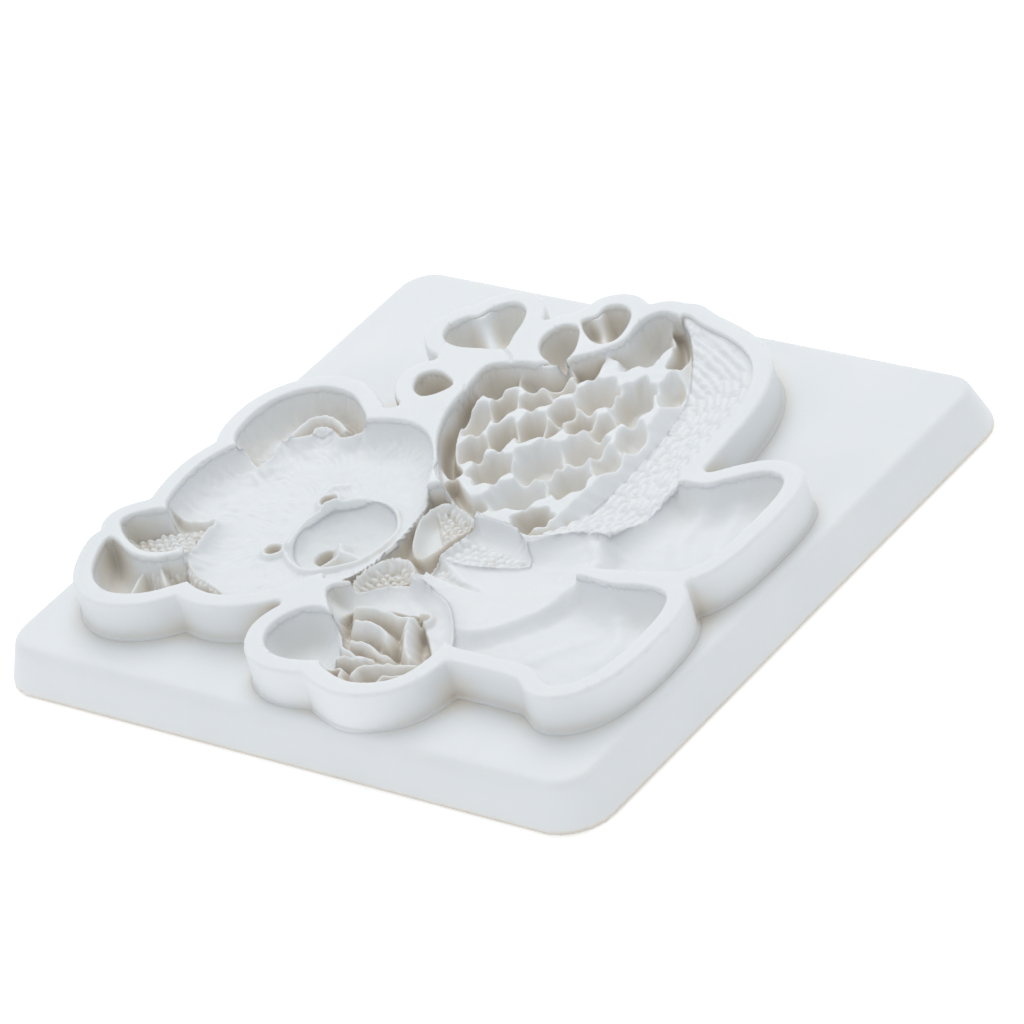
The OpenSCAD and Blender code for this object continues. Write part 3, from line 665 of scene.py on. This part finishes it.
def silicone():
    """Pale satin silicone rubber: cloudy, slightly translucent and finely grained, with painted shade in its
    recesses.
    """
    mat = bpy.data.materials.new("silicone")
    mat.use_nodes = True
    tree = mat.node_tree
    shader = tree.nodes["Principled BSDF"]
    for socket, value in (("Roughness", 0.52), ("IOR", 1.41), ("Specular IOR Level", 0.42),
                          ("Subsurface Weight", 0.5), ("Subsurface Radius", (1.0, 0.92, 0.82)),
                          ("Subsurface Scale", 0.001)):
        shader.inputs[socket].default_value = value
    coords = tree.nodes.new("ShaderNodeTexCoord")

    def noise_texture(scale, detail):
        tex = tree.nodes.new("ShaderNodeTexNoise")
        tex.inputs["Scale"].default_value = scale
        tex.inputs["Detail"].default_value = detail
        tree.links.new(coords.outputs["Object"], tex.inputs["Vector"])
        return tex

    cloud = noise_texture(60, 3)
    tint = tree.nodes.new("ShaderNodeValToRGB")
    tint.color_ramp.elements[0].position = 0.3
    tint.color_ramp.elements[1].position = 0.7
    tint.color_ramp.elements[0].color = (0.755, 0.785, 0.805, 1)
    tint.color_ramp.elements[1].color = (0.785, 0.81, 0.83, 1)
    tree.links.new(cloud.outputs["Fac"], tint.inputs["Fac"])

    # painted shade: ambient occlusion darkens the base colour and turns it warm in recesses and where the walls
    # meet the slab. It stands in for the shade there and for the warm light that scatters inside the rubber
    ao = tree.nodes.new("ShaderNodeAmbientOcclusion")
    ao.inputs["Distance"].default_value = 0.0055
    ao.samples = 4
    painted_recess_shade = tree.nodes.new("ShaderNodeValToRGB")
    painted_recess_shade.color_ramp.elements[0].position = 0.08
    painted_recess_shade.color_ramp.elements[0].color = (0.62, 0.53, 0.43, 1)
    painted_recess_shade.color_ramp.elements[1].position = 0.74
    painted_recess_shade.color_ramp.elements[1].color = (1, 1, 1, 1)
    warm_shade_stop = painted_recess_shade.color_ramp.elements.new(0.48)
    warm_shade_stop.color = (0.965, 0.885, 0.775, 1)
    tree.links.new(ao.outputs["AO"], painted_recess_shade.inputs["Fac"])
    # the painted shade multiplies the base colour
    mix = tree.nodes.new("ShaderNodeMix")
    mix.data_type = "RGBA"
    mix.blend_type = "MULTIPLY"
    mix.inputs["Factor"].default_value = 1.0
    tree.links.new(tint.outputs["Color"], mix.inputs["A"])
    tree.links.new(painted_recess_shade.outputs["Color"], mix.inputs["B"])
    tree.links.new(mix.outputs["Result"], shader.inputs["Base Color"])

    grain = noise_texture(900, 4)
    bump = tree.nodes.new("ShaderNodeBump")
    bump.inputs["Strength"].default_value = 0.10
    bump.inputs["Distance"].default_value = 0.0003
    tree.links.new(grain.outputs["Fac"], bump.inputs["Height"])
    tree.links.new(bump.outputs["Normal"], shader.inputs["Normal"])
    return mat


skin = silicone()
for piece in pieces:
    piece.data.materials.append(skin)


# ---- floor, light and camera -------------------------------------------------------------------

FLOOR_HALF, FLOOR_Z = 3, -0.0001  # metres
floor_mesh = bpy.data.meshes.new("floor")
floor_corners = [(FLOOR_HALF * i, FLOOR_HALF * j, FLOOR_Z) for i, j in ((-1, -1), (1, -1), (1, 1), (-1, 1))]
floor_mesh.from_pydata(floor_corners, [], [(0, 1, 2, 3)])
floor = bpy.data.objects.new("floor", floor_mesh)
bpy.context.scene.collection.objects.link(floor)
paper = bpy.data.materials.new("paper")
paper.use_nodes = True
for socket, value in (("Base Color", (0.93, 0.93, 0.93, 1)), ("Roughness", 0.9),
                      ("Emission Color", (1, 1, 1, 1)), ("Emission Strength", 0.3)):
    paper.node_tree.nodes["Principled BSDF"].inputs[socket].default_value = value
floor_mesh.materials.append(paper)

world = bpy.data.worlds.new("studio")
world.use_nodes = True
world.node_tree.nodes["Background"].inputs["Color"].default_value = (0.97, 0.985, 1.0, 1)
world.node_tree.nodes["Background"].inputs["Strength"].default_value = 0.70
bpy.context.scene.world = world


def softbox(name, place, size, power, tone):
    """A rectangular lamp that faces the object."""
    data = bpy.data.lights.new(name, "AREA")
    data.shape = "RECTANGLE"
    data.size, data.size_y = size
    data.energy = power
    data.color = tone
    lamp = bpy.data.objects.new(name, data)
    lamp.location = place
    lamp.rotation_euler = (-Vector(place)).to_track_quat("-Z", "Y").to_euler()
    bpy.context.scene.collection.objects.link(lamp)


softbox("overhead", (-0.30, 0.45, 0.80), (0.7, 0.7), 3.6, (1.0, 1.0, 1.0))
softbox("front_fill", (0.0, -0.9, 0.45), (0.6, 0.6), 0.75, (0.98, 0.99, 1.0))

# the camera looks at the middle of the slab's top, from the photograph's angle
azimuth, elevation, roll = math.radians(47.696), math.radians(32.191), math.radians(-17.627)
DISTANCE, SHIFT_RIGHT, SHIFT_UP = 0.85276, 0.003119, -0.000125  # metres
back = Vector((math.sin(azimuth) * math.cos(elevation),
               -math.cos(azimuth) * math.cos(elevation),
               math.sin(elevation)))
level = (-back).cross(Vector((0, 0, 1))).normalized()
upright = level.cross(-back)
right = math.cos(roll) * level + math.sin(roll) * upright
upward = -math.sin(roll) * level + math.cos(roll) * upright
centre = Vector((0, 0, SLAB_Z / 1000))
place = centre + back * DISTANCE + right * SHIFT_RIGHT + upward * SHIFT_UP
camera_data = bpy.data.cameras.new("camera")
camera_data.lens = 222.6
camera_data.clip_start = 0.01
camera = bpy.data.objects.new("camera", camera_data)
camera.matrix_world = Matrix((
    (right.x, upward.x, back.x, place.x),
    (right.y, upward.y, back.y, place.y),
    (right.z, upward.z, back.z, place.z),
    (0, 0, 0, 1)))
bpy.context.scene.collection.objects.link(camera)
bpy.context.scene.camera = camera
bpy.context.scene.view_settings.view_transform = "Standard"
